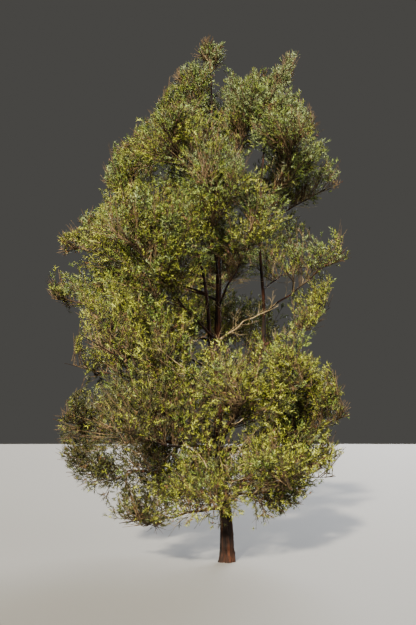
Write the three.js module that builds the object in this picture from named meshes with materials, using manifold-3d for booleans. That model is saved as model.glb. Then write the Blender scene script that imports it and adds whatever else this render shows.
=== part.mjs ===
// A Phoenician juniper tree: one trunk that forks low into upright stems, boughs that sweep out
// and up from them, and plumes of foliage at the boughs' ends. Millimetres, +Z up, origin at the
// middle of the flat cut under the trunk. +X is right and -Y is the side seen in the photograph.
import * as THREE from "three";
import Module from "manifold-3d";

const wasm = await Module();
wasm.setup();

const UP = new THREE.Vector3(0, 0, 1);

// Driving dimensions
const TREE_HEIGHT = 7950;
const LOWEST_FOLIAGE = 430;
const TRUNK_RADIUS = 84;
const TRUNK_TIP_RADIUS = 9;
const TRUNK_TOP = 7250;
const FORK_HEIGHT = 1650;
const FORK_LOSS = 0.8;

// A limb's radius at its root, which is also kept to a share of its parent's, and at its tip. A lighter
// limb has no bough.
const BOUGH_RADIUS = 25;
const LIGHT_RADIUS = 19;
const ROOT_SHARE = 0.62;
const CARRY_ON_SHARE = 0.9;
const STEM_TIP_RADIUS = 4;

// Root flare: how much the foot widens, how fast that fades, and its buttresses
const FLARE = 26;
const FLARE_HEIGHT = 190;
const BUTTRESSES = 5;
const BUTTRESS_DEPTH = 0.12;

// The gap that pieces keep where they meet, and the margin between the spaces of two masses
const SEAT_GAP = 0.3;
const SPACE_MARGIN = 3;

// Foliage. A spray is a toothed blade whose length is a share of its mass's half-width. Where it doesn't
// fit in its mass's space it is tried smaller and rolled further, and left out if nothing fits.
const SPRAYS = 10;
const SPRAY_SHARE = 1.3;
const SPRAY_SIZES = [1, 0.94, 0.88, 0.82, 0.75, 0.68, 0.6];
const SPRAY_ROLL = 1.2;
const SPRAY_TURNS = [0, 1.1, 2.2];
const SPRAY_SLANT = 0.9;
const SPRAY_LIFT = 0.35;
const SPRAY_THICKNESS = 0.045;
const SPRAY_MIDDLE = 0.3;
const TOOTH_FORWARD = 0.6;
const TOOTH_SIDEWAYS = 0.38;
const TOOTH_FOLD = 0.14;
const NOTCH_FORWARD = 0.55;
const NOTCH_SIDEWAYS = 0.16;

// Twigs leave a mass's stem in a spiral, between two shares of its length. Besides the spray at its
// end, a twig has sprays on its sides, as shares of its length and turns from its better side.
const MOST_TWIGS = 30;
const TWIG_SHARE = 0.65;
const TWIG_RADIUS = 9;
const TWIG_SLANT = 0.95;
const TWIG_LIFT = 0.45;
const TWIG_FIRST = 0.06;
const TWIG_LAST = 0.95;
const SIDE_SPRAYS = [
  { share: 0.8, turn: 0 },
  { share: 0.45, turn: 2.6 },
];
const GOLDEN_TURN = 2.39996;
const GOLDEN_SHARE = 0.618;

// Clusters of ripe cones, on the stem of every third mass
const CONES_EVERY = 3;
const CONE_RADIUS = 24;

// Where a bough gives way to its foliage. Then the points of a limb that its mass gathers round, and
// how far above them its middle is, as a share of its half-width.
const ENTRY = 0.36;
const SITES = [0.3, 0.5, 0.7, 0.9];
const SITE_LIFT = 0.45;

// The share of a light limb's stem that stays bare next to the trunk or leader
const BARE_SHARE = 0.24;

// The share of a limb where its stem ends at the earliest, and the sprays at its end take over
const LEAST_END = 0.4;

// The crown's outline: its reach from the trunk's foot to the left and to the right, at heights
const OUTLINE = [
  { height: 400, left: 1150, right: 400 },
  { height: 750, left: 2000, right: 1150 },
  { height: 1300, left: 2380, right: 1620 },
  { height: 1900, left: 2440, right: 1800 },
  { height: 2400, left: 2240, right: 1720 },
  { height: 3100, left: 2260, right: 1480 },
  { height: 3750, left: 2680, right: 1660 },
  { height: 4200, left: 2600, right: 1920 },
  { height: 4600, left: 2440, right: 1830 },
  { height: 5000, left: 2020, right: 1740 },
  { height: 5600, left: 1780, right: 1840 },
  { height: 6100, left: 1500, right: 1660 },
  { height: 6900, left: 1100, right: 1340 },
  { height: 7300, left: 900, right: 1160 },
  { height: 7550, left: 660, right: 1160 },
  { height: TREE_HEIGHT, left: 440, right: 20 },
];

const FUSE_TOLERANCE = 0.2;

const BARK = { color: 0x5a3a2b, roughness: 0.95, metalness: 0 };
const DEAD_WOOD = { color: 0xa39682, roughness: 0.9, metalness: 0 };
const GREENS = [0x6f7a34, 0x5d6b33, 0x7d8440, 0x4f6138].map((color) => ({
  color,
  roughness: 0.85,
  metalness: 0,
}));

// The trunk's centreline and those of the two leaders that fork from it, as [x, y, z] from below up,
// with each leader's radius at its root and at its tip
const TRUNK_LINE = lineThrough([
  [0, 0, 0],
  [-10, 0, 550],
  [-75, 8, 1100],
  [-105, 10, 1650],
  [-120, 0, 2700],
  [-95, -10, 4100],
  [-165, 0, 5500],
  [-205, 0, TRUNK_TOP],
]);
const LEADERS = {
  right_leader: {
    root: 46,
    tip: 10,
    line: lineThrough([
      [-100, 10, 1560],
      [40, 35, 1800],
      [340, 75, 2260],
      [530, 95, 2800],
      [575, 95, 3500],
      [530, 80, 4400],
      [570, 60, 5500],
      [700, 40, 6750],
    ]),
  },
  left_leader: {
    root: 34,
    tip: 9,
    line: lineThrough([
      [-118, 0, 2420],
      [-205, -15, 2800],
      [-250, -25, 3400],
      [-320, -35, 3970],
      [-480, -45, 4500],
      [-760, -50, 5080],
      [-1120, -45, 5520],
    ]),
  },
};

// What a limb is besides its row below: a bough with foliage from part of the way along it, or a lighter
// limb that carries foliage from its root, on the trunk or on a leader
const BOUGH = { bough: true };
const ON_RIGHT = { stem: "right_leader" };
const ON_LEFT = { stem: "left_leader" };
const AT_TIP = null;

// The limbs, in millimetres and degrees. Each row has the height where the limb leaves its stem, or
// AT_TIP where it carries on from the stem's tip. Then it has the limb's own tip, as azimuth from +X
// towards +Y, reach from the trunk's foot and height. Then it has how steeply the limb sets out, and
// the half-width of its foliage.
const LIMBS = [
  limb("left_skirt", 1200, 173, 2300, 1150, 0.1, 560, BOUGH),
  limb("front_left_skirt", 700, 222, 1750, 640, 0.3, 500, BOUGH),
  limb("front_skirt", 950, 260, 1500, 880, 0.1, 450),
  limb("front_right_skirt", 830, 302, 1650, 1050, 0.1, 520),
  limb("right_skirt", 1050, 3, 1530, 1100, 0.1, 500),
  limb("back_right_skirt", 900, 62, 1600, 950, 0.2, 540),
  limb("back_left_skirt", 1000, 122, 2050, 1000, 0.1, 600, BOUGH),
  limb("left_low", 1480, 187, 2380, 1880, -0.1, 600, BOUGH),
  limb("front_left_low", 1350, 236, 2200, 1700, -0.1, 640, BOUGH),
  limb("front_low", 1560, 276, 1800, 2100, -0.1, 540),
  limb("right_low", 1430, 341, 1720, 1930, -0.1, 540, BOUGH),
  limb("back_right_low", 1380, 42, 1850, 2000, -0.1, 600, BOUGH),
  limb("back_low", 1560, 93, 2050, 2380, -0.1, 600, BOUGH),
  limb("back_left_low", 1620, 143, 2330, 2150, -0.1, 640, BOUGH),
  limb("left_mid", 2150, 176, 2360, 2700, 0, 560, BOUGH),
  limb("front_left_mid", 2080, 219, 2320, 2850, -0.1, 640, BOUGH),
  limb("front_right_mid", 1980, 309, 1700, 2280, -0.1, 480),
  limb("right_mid", 2950, 8, 1600, 3550, -0.1, 380, ON_RIGHT),
  limb("back_right_mid", 2480, 60, 1830, 3200, -0.1, 600),
  limb("back_mid", 2650, 92, 2180, 3620, -0.1, 620),
  limb("back_left_mid", 2580, 125, 2300, 3350, -0.1, 660),
  limb("left_reach", 3000, 180, 2600, 3700, 0, 520, ON_LEFT),
  limb("left_upper", 3700, 189, 2380, 4400, -0.1, 600, ON_LEFT),
  limb("front_left_upper", 3000, 236, 2250, 4000, -0.1, 680),
  limb("front_upper", 3850, 262, 1850, 4700, -0.1, 620),
  limb("front_right_upper", 3500, 284, 1450, 4350, -0.1, 500),
  limb("right_upper", 3420, 358, 1780, 4350, 0, 460, ON_RIGHT),
  limb("back_right_upper", 3800, 48, 1850, 4500, 0, 600, ON_RIGHT),
  limb("back_upper", 3650, 88, 2080, 4560, -0.1, 600),
  limb("back_left_upper", 3600, 128, 2130, 4600, -0.1, 660),
  limb("left_rise", 4400, 198, 1780, 5130, 0, 500, ON_LEFT),
  limb("left_high", AT_TIP, 178, 1500, 5900, 0.1, 480, ON_LEFT),
  limb("front_high", 4750, 238, 1600, 5650, 0, 600),
  limb("right_reach", 4870, 358, 1800, 5450, -0.1, 440, ON_RIGHT),
  limb("front_right_high", 4900, 311, 1520, 5650, 0, 540, ON_RIGHT),
  limb("back_high", 4750, 114, 1620, 5700, 0, 620),
  limb("back_right_high", 5000, 47, 1560, 5750, 0, 580, ON_RIGHT),
  limb("left_shoulder", 5550, 174, 1080, 6680, 0.1, 460),
  limb("right_shoulder", 5650, 359, 1460, 6450, 0, 460, ON_RIGHT),
  limb("front_top", 5450, 320, 800, 6480, 0, 480),
  limb("top_left", 6150, 182, 720, 7320, 0.15, 360),
  limb("top_right", 6050, 345, 520, 6930, 0, 380),
  limb("back_top", 6100, 102, 950, 6800, 0, 460),
  limb("right_peak", AT_TIP, 2, 1130, 7380, 0.2, 300, ON_RIGHT),
  limb("crown_top", AT_TIP, 178, 300, TREE_HEIGHT - 100, 0, 215),
];

// A dead bough on the side seen in the photograph, with a few bare twigs
const DEAD_BOUGH = { leaves: 3000, azimuth: 322, reach: 900, tip: 3400, climb: 0.2 };
const DEAD_RADIUS = 15;
const DEAD_TIP_RADIUS = 4;
const DEAD_TWIGS = 4;
const DEAD_TWIG_RADIUS = 6;

function limb(name, leaves, azimuth, reach, tip, climb, spread, more = {}) {
  return { name, leaves, azimuth, reach, tip, climb, spread, ...more };
}

function lineThrough(points) {
  return new THREE.CatmullRomCurve3(points.map((p) => new THREE.Vector3(...p)), false, "centripetal");
}

// A repeatable stream of numbers from 0 to 1
function seeded(seed) {
  let state = seed;
  return () => {
    state = (state + 0x6d2b79f5) | 0;
    let mixed = Math.imul(state ^ (state >>> 15), 1 | state);
    mixed = (mixed + Math.imul(mixed ^ (mixed >>> 7), 61 | mixed)) ^ mixed;
    return ((mixed ^ (mixed >>> 14)) >>> 0) / 4294967296;
  };
}

function mix(a, b, share) {
  return a + (b - a) * share;
}

// The point of a stem's line at a height, which only ever rises
function atHeight(line, height) {
  let low = 0;
  let high = 1;
  for (let step = 0; step < 40; step++) {
    const middle = (low + high) / 2;
    if (line.getPoint(middle).z < height) low = middle;
    else high = middle;
  }
  return { t: low, point: line.getPoint(low) };
}

function solidFrom(points, faces) {
  const vertProperties = new Float32Array(points.flatMap((p) => p.toArray()));
  return new wasm.Manifold(
    new wasm.Mesh({ numProp: 3, vertProperties, triVerts: new Uint32Array(faces) }),
  );
}

// The triangles between rings that follow one another, with a fan over the first
function tubeFaces(rings) {
  const sides = rings[0].length;
  const faces = [];
  for (let side = 1; side + 1 < sides; side++) faces.push(0, side + 1, side);
  for (let ring = 0; ring + 1 < rings.length; ring++) {
    for (let side = 0; side < sides; side++) {
      const a = ring * sides + side;
      const b = ring * sides + ((side + 1) % sides);
      faces.push(a, b, b + sides, a, b + sides, a + sides);
    }
  }
  return faces;
}

// A closed solid from rings of points
function solidFromRings(rings) {
  const sides = rings[0].length;
  const last = (rings.length - 1) * sides;
  const faces = tubeFaces(rings);
  for (let side = 1; side + 1 < sides; side++) faces.push(last, last + side, last + side + 1);
  return solidFrom(rings.flat(), faces);
}

// Points placed forward, sideways and off a frame, in units of a length
function placer({ origin, along, across }, length) {
  const facing = new THREE.Vector3().crossVectors(along, across);
  return (forward, sideways, off) =>
    origin
      .clone()
      .addScaledVector(along, forward * length)
      .addScaledVector(across, sideways * length)
      .addScaledVector(facing, off * length);
}

// Rings round a curve from share t0 to share t1, their first point on the side that across shows,
// with the radius as a function of the share. grow widens them and moves the last one on.
function ringsAlong(curve, t0, t1, radiusAt, sides, steps, across, grow = 0) {
  const rings = [];
  for (let step = 0; step <= steps; step++) {
    const t = mix(t0, t1, step / steps);
    const frame = frameAt(curve, t, across);
    if (step === steps) frame.origin.addScaledVector(frame.along, grow);
    const place = placer(frame, radiusAt(t) + grow);
    const ring = [];
    for (let side = 0; side < sides; side++) {
      const angle = (2 * Math.PI * side) / sides;
      ring.push(place(0, Math.cos(angle), Math.sin(angle)));
    }
    rings.push(ring);
  }
  return rings;
}

function frameAt(curve, t, across) {
  const along = curve.getTangent(t);
  const square = across.clone().addScaledVector(along, -across.dot(along)).normalize();
  return { origin: curve.getPoint(t), along, across: square };
}

// The trunk narrows evenly, loses a share where the right leader leaves it, and flares at the foot
function trunkRadius(height) {
  const tapered = mix(TRUNK_RADIUS, TRUNK_TIP_RADIUS, height / TRUNK_TOP);
  const above = THREE.MathUtils.smoothstep(height, FORK_HEIGHT - 150, FORK_HEIGHT + 250);
  const thinned = 1 - (1 - FORK_LOSS) * above * (1 - height / TRUNK_TOP);
  return tapered * thinned + FLARE * Math.exp(-height / FLARE_HEIGHT);
}

function trunk(grow) {
  const SIDES = 12;
  const STEPS = 15;
  const rings = [];
  for (let step = 0; step <= STEPS; step++) {
    const height = TRUNK_TOP * Math.pow(step / STEPS, 1.6);
    const centre = atHeight(TRUNK_LINE, height).point;
    const fade = Math.exp(-height / (2 * FLARE_HEIGHT));
    const ring = [];
    for (let side = 0; side < SIDES; side++) {
      const angle = (2 * Math.PI * side) / SIDES;
      const lobe = 1 + BUTTRESS_DEPTH * fade * Math.cos(BUTTRESSES * angle + 0.6);
      const radius = trunkRadius(height) * lobe + grow;
      ring.push(
        new THREE.Vector3(
          centre.x + radius * Math.cos(angle),
          centre.y + radius * Math.sin(angle),
          height === TRUNK_TOP ? height + grow : height,
        ),
      );
    }
    rings.push(ring);
  }
  return solidFromRings(rings);
}

function leader({ line, root, tip }, grow) {
  return solidFromRings(
    ringsAlong(line, 0, 1, (t) => mix(root, tip, t), 6, 10, new THREE.Vector3(0, 1, 0), grow),
  );
}

// Where a limb leaves its stem: a point on the stem's line, and the stem's radius there. A limb with no
// height of its own carries on from the stem's tip.
function seatOf(limb) {
  if (!limb.stem) {
    const height = limb.leaves ?? TRUNK_TOP;
    return { point: atHeight(TRUNK_LINE, height).point, radius: trunkRadius(height) };
  }
  const { line, root, tip } = LEADERS[limb.stem];
  const { t, point } = limb.leaves ? atHeight(line, limb.leaves) : { t: 1, point: line.getPoint(1) };
  return { point, radius: mix(root, tip, t) };
}

// A limb's curve from its parent's middle to its tip
function limbCurve(limb) {
  const root = seatOf(limb).point;
  const azimuth = THREE.MathUtils.degToRad(limb.azimuth);
  const tip = new THREE.Vector3(
    limb.reach * Math.cos(azimuth),
    limb.reach * Math.sin(azimuth),
    limb.tip,
  );
  const control = new THREE.Vector3(
    mix(root.x, tip.x, 0.5 - 0.5 * limb.climb),
    mix(root.y, tip.y, 0.5 - 0.5 * limb.climb),
    mix(root.z, tip.z, 0.5 + 0.5 * limb.climb),
  );
  return new THREE.QuadraticBezierCurve3(root, control, tip);
}

function limbRadius(limb, t) {
  const share = limb.leaves ? ROOT_SHARE : CARRY_ON_SHARE;
  const root = Math.min(limb.bough ? BOUGH_RADIUS : LIGHT_RADIUS, share * seatOf(limb).radius);
  return mix(root, STEM_TIP_RADIUS, Math.pow(t, 0.8));
}

// The rim of a spray past its root: a tooth and a notch on each side of the tip
function sprayRim(place) {
  return [
    place(TOOTH_FORWARD, TOOTH_SIDEWAYS, TOOTH_FOLD),
    place(NOTCH_FORWARD, NOTCH_SIDEWAYS, 0),
    place(1, 0, 0),
    place(NOTCH_FORWARD, -NOTCH_SIDEWAYS, 0),
    place(TOOTH_FORWARD, -TOOTH_SIDEWAYS, TOOTH_FOLD),
  ];
}

// One spray on its own: its rim, closed from two points above and below its middle
function spray(frame, length) {
  const place = placer(frame, length);
  const rim = [frame.origin, ...sprayRim(place)];
  const points = [
    ...rim,
    place(SPRAY_MIDDLE, 0, SPRAY_THICKNESS / 2),
    place(SPRAY_MIDDLE, 0, -SPRAY_THICKNESS / 2),
  ];
  const faces = [];
  for (let i = 0; i < rim.length; i++) {
    const next = (i + 1) % rim.length;
    faces.push(next, i, rim.length, i, next, rim.length + 1);
  }
  return { solid: solidFrom(points, faces), points };
}

// A four-sided twig that widens at its end into a spray
function sprayedTwig(rings, frame, length) {
  const rim = sprayRim(placer(frame, length));
  const root = 4 * (rings.length - 1);
  const first = 4 * rings.length;
  const faces = tubeFaces(rings);
  const fan = [root, ...rim.map((_, i) => first + i), root + 2];
  for (let i = 0; i + 1 < fan.length; i++) {
    faces.push(fan[i], root + 1, fan[i + 1]);
    faces.push(fan[i + 1], root + 3, fan[i]);
  }
  return { solid: solidFrom([...rings.flat(), ...rim], faces), points: [...rings[0], ...rim] };
}

// Where a shoot leaves a curve: the point, and a direction turned round the curve and slanted off it
function sprout(curve, t, turn, slant, lift) {
  const point = curve.getPoint(t);
  const along = curve.getTangent(t);
  const sideways = new THREE.Vector3().crossVectors(along, UP);
  if (sideways.length() < 0.05) sideways.set(1, 0, 0);
  sideways.normalize();
  const upward = new THREE.Vector3().crossVectors(sideways, along);
  const outward = sideways
    .multiplyScalar(Math.cos(turn))
    .addScaledVector(upward, Math.sin(turn));
  const direction = along
    .multiplyScalar(Math.cos(slant))
    .addScaledVector(outward, Math.sin(slant))
    .addScaledVector(UP, lift)
    .normalize();
  return { point, direction };
}

// The direction across a spray whose face is turned outward from the trunk and upward, and then rolled
function acrossOf(point, direction, roll) {
  const outward = new THREE.Vector3(point.x - TRUNK_LINE.getPoint(0.5).x, point.y, 0).normalize();
  const facing = outward.multiplyScalar(0.8).addScaledVector(UP, 0.6);
  const across = new THREE.Vector3().crossVectors(direction, facing);
  if (across.length() < 0.05) across.set(1, 0, 0);
  return across.normalize().applyAxisAngle(direction, roll);
}

// A shoot that sets out straight and turns up a little
function shootCurve({ point, direction }, length) {
  const bend = point.clone().addScaledVector(direction, length / 2);
  const tip = bend
    .clone()
    .addScaledVector(direction, length / 2)
    .addScaledVector(UP, 0.15 * length);
  return new THREE.QuadraticBezierCurve3(point, bend, tip);
}

// Adds to parts the piece that make gives for a spray at share t of a curve, in the first size and roll
// that keep to the mass's space and clear of the sprays in taken. It says whether there was one.
function growSpray({ limb, fits, random, parts, taken }, curve, t, make) {
  const origin = curve.getPoint(t);
  const along = curve.getTangent(t);
  const length = SPRAY_SHARE * limb.spread * mix(0.9, 1.1, random());
  const roll = SPRAY_ROLL * mix(-1, 1, random());
  for (const size of SPRAY_SIZES) {
    for (const turn of SPRAY_TURNS) {
      const frame = { origin, along, across: acrossOf(origin, along, roll + turn) };
      const { solid, points } = make(frame, size * length);
      if (fits(solid, points) && taken.every((other) => isClear(solid, other))) {
        parts.push(solid);
        taken.push(spray(frame, size * length).solid);
        return true;
      }
    }
  }
  return false;
}

// The kth twig of a mass, with its sprays
function growTwig(mass, k) {
  const { limb, random } = mass;
  const along = mix(TWIG_FIRST, TWIG_LAST, (k * GOLDEN_SHARE + 0.1 * random()) % 1);
  const turn = k * GOLDEN_TURN + 0.8 * random() + limb.seed;
  const length = TWIG_SHARE * limb.spread * mix(1.1, 0.7, along);
  const t = mix(limb.leafyFrom, limb.end, along);
  const curve = shootCurve(sprout(limb.curve, t, turn, TWIG_SLANT, TWIG_LIFT), length);
  const radiusAt = (share) => TWIG_RADIUS * mix(1, 0.7, share);
  const twig = (frame, sprayLength) =>
    sprayedTwig(ringsAlong(curve, 0, 1, radiusAt, 4, 1, frame.across), frame, sprayLength);
  const hand = random() < 0.5 ? 0.4 : Math.PI - 0.4;
  if (!growSpray(mass, curve, 1, twig)) return;
  for (const side of SIDE_SPRAYS.slice(0, SPRAYS - mass.taken.length)) {
    const shoot = sprout(curve, side.share, hand + side.turn, SPRAY_SLANT, SPRAY_LIFT);
    growSpray(mass, shootCurve(shoot, 1), 0, spray);
  }
}

// One mass of foliage: twigs that branch off its stem, each with a spray at its end and others on its
// sides, and a spray at the stem's own end
function foliage(limb, fits) {
  const random = seeded(limb.seed);
  const mass = { limb, fits, random, parts: [limb.stemSolid], taken: [] };
  growSpray(mass, limb.curve, limb.end - 0.01, spray);
  for (let k = 0; k < MOST_TWIGS && mass.taken.length < SPRAYS; k++) growTwig(mass, k);
  if (limb.seed % CONES_EVERY === 0) growCones(mass);
  return largestBody(wasm.Manifold.union(mass.parts).asOriginal().simplify(FUSE_TOLERANCE));
}

// A cluster of cones, as an octahedron sunk a little way into the stem
function growCones({ limb, fits, random, parts }) {
  const t = mix(limb.start, limb.end, mix(0.3, 0.9, random()));
  const { point, direction } = sprout(limb.curve, t, 2 * Math.PI * random(), Math.PI / 2, 0);
  const centre = point.addScaledVector(direction, 0.5 * limbRadius(limb, t) + 0.6 * CONE_RADIUS);
  const corners = [];
  for (const axis of [0, 1, 2]) {
    for (const sign of [-1, 1]) {
      corners.push(centre.clone().setComponent(axis, centre.getComponent(axis) + sign * CONE_RADIUS));
    }
  }
  const solid = wasm.Manifold.hull(corners.map((corner) => corner.toArray()));
  if (fits(solid, corners)) parts.push(solid);
}

// The largest outer body, without the scraps and sealed hollows that fusing may leave
function largestBody(solid) {
  return solid.decompose().sort((a, b) => b.volume() - a.volume())[0];
}

function isClear(solid, other) {
  const a = solid.boundingBox();
  const b = other.boundingBox();
  const apart = [0, 1, 2].some((axis) => a.max[axis] < b.min[axis] || b.max[axis] < a.min[axis]);
  return apart || solid.intersect(other).isEmpty();
}

function deadBough(parent) {
  const curve = limbCurve(DEAD_BOUGH);
  const random = seeded(LIMBS.length + 1);
  const radiusAt = (t) => mix(DEAD_RADIUS, DEAD_TIP_RADIUS, t);
  const parts = [solidFromRings(ringsAlong(curve, 0, 1, radiusAt, 5, 4, acrossLimb(DEAD_BOUGH)))];
  for (let k = 0; k < DEAD_TWIGS; k++) {
    const shoot = sprout(curve, mix(0.35, 0.9, k / (DEAD_TWIGS - 1)), k * GOLDEN_TURN, 0.8, 0.2);
    const twig = shootCurve(shoot, mix(180, 320, random()));
    const twigRadiusAt = (t) => DEAD_TWIG_RADIUS * mix(1, 0.5, t);
    parts.push(solidFromRings(ringsAlong(twig, 0, 1, twigRadiusAt, 3, 1, UP)));
  }
  return largestBody(wasm.Manifold.union(parts).subtract(parent));
}

// The level direction square to a limb's own plane
function acrossLimb(limb) {
  return new THREE.Vector3(0, 1, 0).applyAxisAngle(UP, THREE.MathUtils.degToRad(limb.azimuth));
}

// Works out a limb's curve, its bough where it has one, and the stem of its foliage, with their roots
// cut clear of the parent
function setOut(limb, seed, parent) {
  const curve = limbCurve(limb);
  const length = curve.getLength();
  const across = acrossLimb(limb);
  const radiusAt = (t) => limbRadius(limb, t);
  const start = limb.bough ? ENTRY + SEAT_GAP / length : 0;
  const end = Math.max(1 - (0.9 * SPRAY_SHARE * limb.spread) / length, LEAST_END);
  const leafyFrom = limb.bough || !limb.leaves ? start : BARE_SHARE;
  const stem = solidFromRings(ringsAlong(curve, start, end, radiusAt, 4, 2, across));
  const sites = SITES.map((t) => curve.getPoint(t).addScaledVector(UP, SITE_LIFT * limb.spread));
  Object.assign(limb, { seed, curve, start, end, leafyFrom, sites });
  limb.stemSolid = limb.bough ? stem : largestBody(stem.subtract(parent));
  if (limb.bough) {
    const whole = solidFromRings(ringsAlong(curve, 0, ENTRY, radiusAt, 6, 2, across));
    limb.boughSolid = largestBody(whole.subtract(parent));
  }
}

// How far the crown reaches at a point's height, between its left and right reach by the point's azimuth
function reachAt(point) {
  const above = OUTLINE.findIndex((row) => row.height > point.z);
  const a = OUTLINE[above - 1];
  const b = OUTLINE[above];
  const share = (point.z - a.height) / (b.height - a.height);
  const leftward = (1 - point.x / Math.max(Math.hypot(point.x, point.y), 1)) / 2;
  return mix(mix(a.right, b.right, share), mix(a.left, b.left, share), leftward);
}

function inCrown(point) {
  const level = point.z > LOWEST_FOLIAGE && point.z < TREE_HEIGHT;
  return level && Math.hypot(point.x, point.y) < reachAt(point);
}

function distanceTo(limb, point) {
  return Math.min(...limb.sites.map((site) => site.distanceTo(point)));
}

// Whether a piece of a limb's foliage keeps to its space: nearer to that limb than to any other, and
// clear of the wood and of the masses made before
function spaceOf(limb, wood, masses) {
  const others = LIMBS.filter((other) => other !== limb);
  const obstacles = wasm.Manifold.union([...wood, ...others.map((other) => other.stemSolid)]);
  const isOwn = (point) => {
    const own = distanceTo(limb, point) + SPACE_MARGIN;
    return inCrown(point) && others.every((other) => own < distanceTo(other, point));
  };
  return (solid, points) =>
    points.every(isOwn) &&
    solid.intersect(obstacles).isEmpty() &&
    masses.every((mass) => isClear(solid, mass));
}

function meshOf(name, solid, look) {
  const { vertProperties, triVerts } = solid.getMesh();
  const geometry = new THREE.BufferGeometry()
    .setAttribute("position", new THREE.BufferAttribute(new Float32Array(vertProperties), 3))
    .setIndex(new THREE.BufferAttribute(new Uint32Array(triVerts), 1));
  const mesh = new THREE.Mesh(geometry, new THREE.MeshStandardMaterial(look));
  mesh.name = name;
  return mesh;
}

function buildTree() {
  const tree = new THREE.Group();
  const wood = [];
  // Foliage keeps clear of the piece, or of the same piece grown by the gap where that is given
  const addWood = (name, solid, look, kept = solid) => {
    wood.push(kept);
    tree.add(meshOf(name, solid, look));
  };
  const grown = { trunk: trunk(SEAT_GAP) };
  addWood("trunk", trunk(0), BARK, grown.trunk);
  for (const [name, shape] of Object.entries(LEADERS)) {
    grown[name] = leader(shape, SEAT_GAP);
    addWood(name, largestBody(leader(shape, 0).subtract(grown.trunk)), BARK, grown[name]);
  }
  addWood("dead_bough", deadBough(grown.trunk), DEAD_WOOD);
  LIMBS.forEach((limb, index) => setOut(limb, index + 1, grown[limb.stem ?? "trunk"]));
  for (const limb of LIMBS.filter((each) => each.bough)) {
    addWood(`bough_${limb.name}`, limb.boughSolid, BARK);
  }
  const masses = [];
  for (const limb of LIMBS) {
    const mass = foliage(limb, spaceOf(limb, wood, masses));
    masses.push(mass);
    tree.add(meshOf(`foliage_${limb.name}`, mass, GREENS[limb.seed % GREENS.length]));
  }
  return tree;
}

export default buildTree();
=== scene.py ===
import math

import bmesh
import bpy
import numpy as np
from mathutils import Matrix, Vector, noise


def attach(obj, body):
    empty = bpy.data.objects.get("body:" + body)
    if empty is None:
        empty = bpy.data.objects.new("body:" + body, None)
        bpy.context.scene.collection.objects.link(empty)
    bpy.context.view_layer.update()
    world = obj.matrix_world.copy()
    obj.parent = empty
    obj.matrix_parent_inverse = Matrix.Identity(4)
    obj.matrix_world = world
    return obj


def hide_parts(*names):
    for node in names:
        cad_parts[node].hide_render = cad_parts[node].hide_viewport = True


# A Phoenician juniper in metres: bark with relief on the trunk, leaders and boughs, and a crown
# that grows on from the limbs by the same seeded rule as the solids, carried to finer twigs and
# sprays.

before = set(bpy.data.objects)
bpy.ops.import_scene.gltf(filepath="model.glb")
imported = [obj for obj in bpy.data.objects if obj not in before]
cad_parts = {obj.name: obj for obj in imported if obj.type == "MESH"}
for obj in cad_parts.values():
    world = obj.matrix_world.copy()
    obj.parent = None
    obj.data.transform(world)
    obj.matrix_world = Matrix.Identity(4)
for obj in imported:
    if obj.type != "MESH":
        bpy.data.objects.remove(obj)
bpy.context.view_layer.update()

UP = np.array((0.0, 0.0, 1.0))
SEED = 2113
GOLDEN_TURN = 2.39996
GOLDEN_SHARE = 0.618

# Trunk, leaders and limbs
TREE_HEIGHT = 7.95
TRUNK_RADIUS = 0.084
TRUNK_TIP_RADIUS = 0.009
TRUNK_TOP = 7.25
FORK_HEIGHT = 1.65
FORK_LOSS = 0.8
FLARE = 0.026
FLARE_HEIGHT = 0.19
BUTTRESSES = 5
BUTTRESS_DEPTH = 0.12
BUTTRESS_TURN = 0.6
BOUGH_RADIUS = 0.025
LIGHT_RADIUS = 0.019
ROOT_SHARE = 0.62
CARRY_ON_SHARE = 0.9
STEM_TIP_RADIUS = 0.004
WAVER = 0.016

# Twigs leave a limb in a spiral
TWIGS = 27
TWIG_SHARE = 0.65
TWIG_LENGTHS = (1.15, 0.45)
TWIG_CHANCE = (0.8, 1.2)
LEAFY_FROM = 0.25
LEAFY_TO = 0.97
TWIG_SLANT = 0.95
TWIG_LIFT = 0.45
TWIG_FIRST = 0.06
TWIG_LAST = 0.95
TWIG_RADII = (0.0075, 0.005)
TURN_UP = 0.15

# Plumes stand at the end and on the sides of each twig, as a share along it and a turn round it
PLUME_SHARE = 0.95
PLUME_SIZES = (1, 0.9, 0.8, 0.7, 0.6, 0.45)
PLUME_CHANCE = (0.7, 1.3)
PLUME_MIDDLE = 0.6
PLUME_SLANT = 0.9
PLUME_LIFT = 0.35
PLUME_ROLL = 1.2
PLUME_SAG = 0.6
PLUME_TO = 0.97
PLUME_RADII = (0.005, 0.0035, 0.0018)
SIDE_PLUMES = ((0.8, 0.0), (0.45, 2.6), (0.12, 0.6), (0.6, -1.5), (0.95, -1.6))
SIDE_TILT = 0.4
LAST_PLUME_FROM = 0.9

# Each limb's space is round its sites, which stand above it by a share of its half-width
SITES = (0.3, 0.5, 0.7, 0.9)
SITE_LIFT = 0.45
SPACE_SLACK = 0.3

# Shoots stand along a plume in the outline of a toothed blade, and sprays along a shoot
SHOOT_SPACING = 0.07
SHOOT_SLANTS = (0.55, 0.85)
SHOOT_LIFT = 0.18
SHOOT_CHANCE = (0.7, 1.1)
SHOOT_FLATNESS = 0.75
SHORTEST_SHOOT = 0.05
SHOOT_RADIUS = 0.0024
BLADE_HALF_WIDTH = 0.33
SPRAY_SPACING = 0.052
SPRAY_LENGTH = 0.095
SPRAY_SCALES = (0.75, 1.2)
SPRAY_SLANTS = (0.45, 0.8)
SPRAY_LIFT = 0.12
SPRAY_TO = 0.92
SPRAY_SHAPES = 6
SPRAY_SHOOTS = 11
SPRAY_SHOOT_SLANTS = (0.4, 1.3)
SPRAY_SHOOT_LENGTHS = (0.45, 0.8)
SPRAY_SHOOT_HALF_WIDTH = 0.05
CONES = 1500
CONE_RADII = (0.007, 0.0105)

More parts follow.
